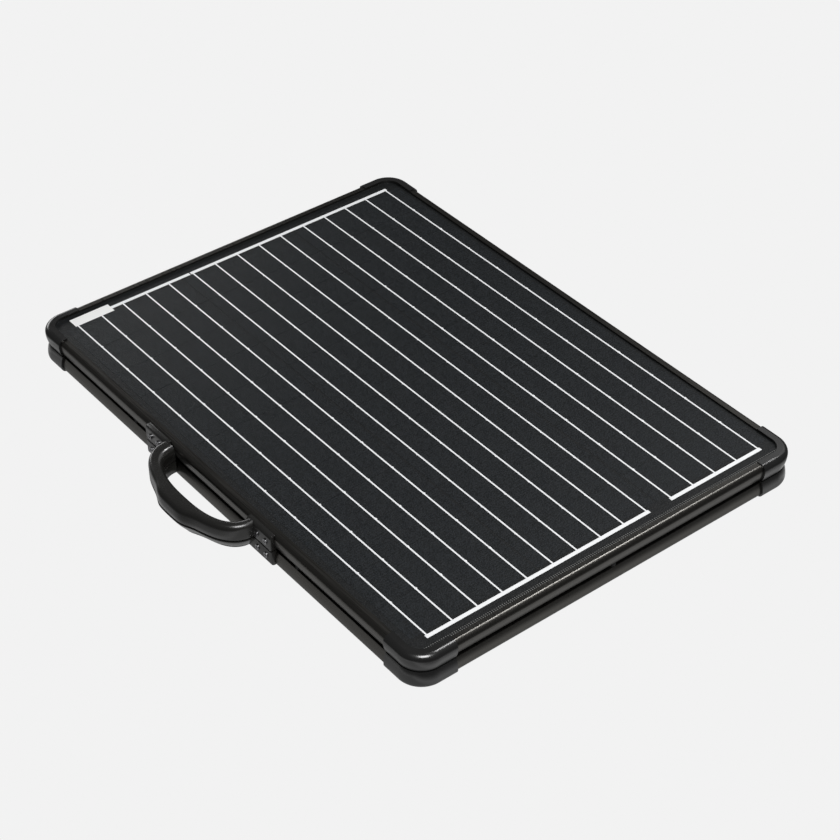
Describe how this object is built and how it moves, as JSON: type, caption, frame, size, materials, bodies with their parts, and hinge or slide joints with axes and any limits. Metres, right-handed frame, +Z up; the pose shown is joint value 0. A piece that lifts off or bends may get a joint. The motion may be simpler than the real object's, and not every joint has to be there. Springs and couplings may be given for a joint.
{
  "type": "folding solar panel",
  "caption": "Folding suitcase solar panel, closed: two black framed panels hinged along one long edge, with a two-part carrying handle and folding stand legs inside.",
  "frame": {"origin": "bottom centre of the closed panel's box, handle and hinge knuckles included", "axes": "+X along the hinge, +Y from the handle towards the hinge, +Z up out of the upper panel's cells"},
  "size_m": [0.7004, 0.567, 0.043],
  "materials": {
    "black_rail": "satin black anodised",
    "corner_plastic": "semi-gloss black",
    "backing_board": "matt off-white",
    "front_sheet": "textured near-black",
    "solar_cell": "near-black blue under clear film",
    "ribbon_metal": "bright tinned strip",
    "label_paper": "plain white",
    "handle_plastic": "satin black",
    "screw_steel": "bright",
    "hinge_steel": "black coated",
    "box_plastic": "matt black",
    "black_rubber": "matt",
    "leg_aluminium": "black anodised"
  },
  "bodies": {
    "lower_panel": {"lower_rail_hinge_side": "black_rail", "lower_rail_handle_side": "black_rail", "lower_rail_left": "black_rail", "lower_rail_right": "black_rail", "lower_cap_front_left": "corner_plastic", "lower_cap_front_right": "corner_plastic", "lower_cap_back_left": "corner_plastic", "lower_cap_back_right": "corner_plastic", "lower_backing_board": "backing_board", "lower_front_sheet": "front_sheet", "lower_cells": "solar_cell", "lower_ribbons": "ribbon_metal", "lower_bus_ribbons": "ribbon_metal", "lower_handle_half": "handle_plastic", "lower_handle_screws": "screw_steel", "lower_junction_box": "box_plastic", "lower_junction_lid": "box_plastic", "lower_cable_gland": "box_plastic", "lower_hinge_leaves": "hinge_steel", "lower_hinge_screws": "screw_steel", "hinge_pins": "hinge_steel", "lower_bumpers": "black_rubber", "lower_leg_bolt": "screw_steel", "lower_leg_knob": "box_plastic"},
    "upper_panel": {"upper_rail_hinge_side": "black_rail", "upper_rail_handle_side": "black_rail", "upper_rail_left": "black_rail", "upper_rail_right": "black_rail", "upper_cap_front_left": "corner_plastic", "upper_cap_front_right": "corner_plastic", "upper_cap_back_left": "corner_plastic", "upper_cap_back_right": "corner_plastic", "upper_backing_board": "backing_board", "upper_front_sheet": "front_sheet", "upper_cells": "solar_cell", "upper_ribbons": "ribbon_metal", "upper_bus_ribbons": "ribbon_metal", "upper_label": "label_paper", "upper_handle_half": "handle_plastic", "upper_handle_screws": "screw_steel", "upper_junction_box": "box_plastic", "upper_junction_lid": "box_plastic", "upper_cable_gland": "box_plastic", "upper_hinge_leaves": "hinge_steel", "upper_hinge_screws": "screw_steel", "upper_bumpers": "black_rubber", "upper_leg_bolt": "screw_steel", "upper_leg_knob": "box_plastic"},
    "lower_leg": {"lower_leg_bar": "leg_aluminium", "lower_leg_foot": "black_rubber"},
    "upper_leg": {"upper_leg_bar": "leg_aluminium", "upper_leg_foot": "black_rubber"}
  },
  "joints": [
    {"name": "fold", "type": "hinge", "parent": "lower_panel", "child": "upper_panel", "pos_m": [0, 0.2802, 0.0215], "axis": [-1, 0, 0], "range_deg": [0, 180]},
    {"name": "lower_leg_swing", "type": "hinge", "parent": "lower_panel", "child": "lower_leg", "pos_m": [0.288, -0.2164, 0.0134], "axis": [0, 1, 0], "range_deg": [0, 60]},
    {"name": "upper_leg_swing", "type": "hinge", "parent": "upper_panel", "child": "upper_leg", "pos_m": [0.288, -0.2164, 0.0296], "axis": [0, -1, 0], "range_deg": [0, 60]}
  ],
  "couplings": [
    {"joint": "lower_leg_swing", "follows": "fold", "ratio": 0.3333},
    {"joint": "upper_leg_swing", "follows": "fold", "ratio": 0.3333}
  ]
}
